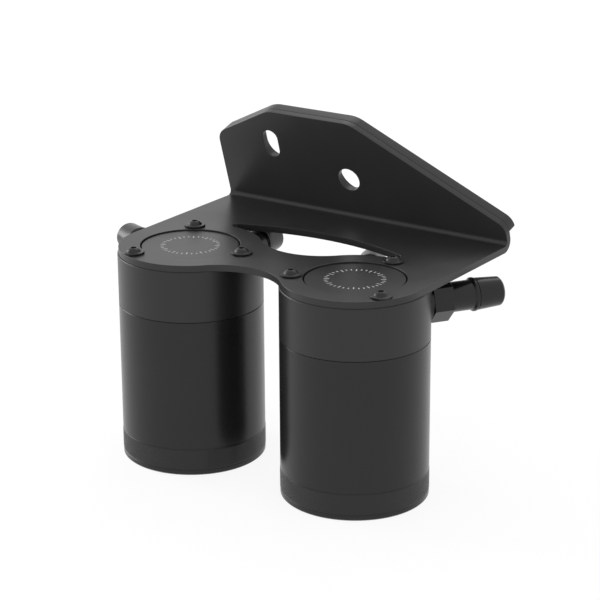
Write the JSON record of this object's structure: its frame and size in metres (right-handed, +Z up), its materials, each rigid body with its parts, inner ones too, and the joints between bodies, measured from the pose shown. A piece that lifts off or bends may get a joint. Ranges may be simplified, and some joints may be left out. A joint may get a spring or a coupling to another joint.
{
  "type": "oil catch can",
  "caption": "Pair of round black oil catch cans with screw-on bowls and hose fittings, bolted under one bent sheet bracket with a slotted flange.",
  "frame": {"origin": "centre of the right can's base", "axes": "+X along the pair from the left can's axis to the right can's, +Y back to the bracket's flange, +Z up along the cans"},
  "size_m": [0.1896, 0.1112, 0.1448],
  "materials": {
    "bracket_coat": "satin powder coat",
    "backing_coat": "satin powder coat",
    "can_black": "satin black anodised",
    "fitting_black": "black anodised",
    "screw_black": "black oxide",
    "seal_rubber": "matte",
    "sintered_bronze": "rough sintered",
    "bare_aluminium": "bare",
    "bolt_steel": "bare"
  },
  "bodies": {
    "frame": {"bracket": "bracket_coat", "backing_plate": "backing_coat", "left_head": "can_black", "left_filter": "sintered_bronze", "left_baffle": "bare_aluminium", "left_filter_bolt": "bolt_steel", "left_inlet_fitting": "fitting_black", "left_outlet_fitting": "fitting_black", "left_screw_1": "screw_black", "left_screw_2": "screw_black", "left_screw_3": "screw_black", "right_head": "can_black", "right_filter": "sintered_bronze", "right_baffle": "bare_aluminium", "right_filter_bolt": "bolt_steel", "right_inlet_fitting": "fitting_black", "right_outlet_fitting": "fitting_black", "right_screw_1": "screw_black", "right_screw_2": "screw_black", "right_screw_3": "screw_black"},
    "left_seal_ring": {"left_bowl_seal": "seal_rubber"},
    "left_bowl": {"left_bowl": "can_black"},
    "right_seal_ring": {"right_bowl_seal": "seal_rubber"},
    "right_bowl": {"right_bowl": "can_black"}
  },
  "joints": [
    {"name": "left_bowl_lower", "type": "slide", "parent": "frame", "child": "left_seal_ring", "axis": [0, 0, -1], "range_m": [0, 0.0081]},
    {"name": "left_bowl_turn", "type": "hinge", "parent": "left_seal_ring", "child": "left_bowl", "pos_m": [-0.0854, 0, 0], "axis": [0, 0, -1], "range_deg": [0, 1440]},
    {"name": "right_bowl_lower", "type": "slide", "parent": "frame", "child": "right_seal_ring", "axis": [0, 0, -1], "range_m": [0, 0.0081]},
    {"name": "right_bowl_turn", "type": "hinge", "parent": "right_seal_ring", "child": "right_bowl", "pos_m": [0, 0, 0], "axis": [0, 0, -1], "range_deg": [0, 1440]}
  ],
  "couplings": [
    {"joint": "left_bowl_lower", "follows": "left_bowl_turn", "m_per_rad": 0.00031831},
    {"joint": "right_bowl_lower", "follows": "right_bowl_turn", "m_per_rad": 0.00031831}
  ]
}
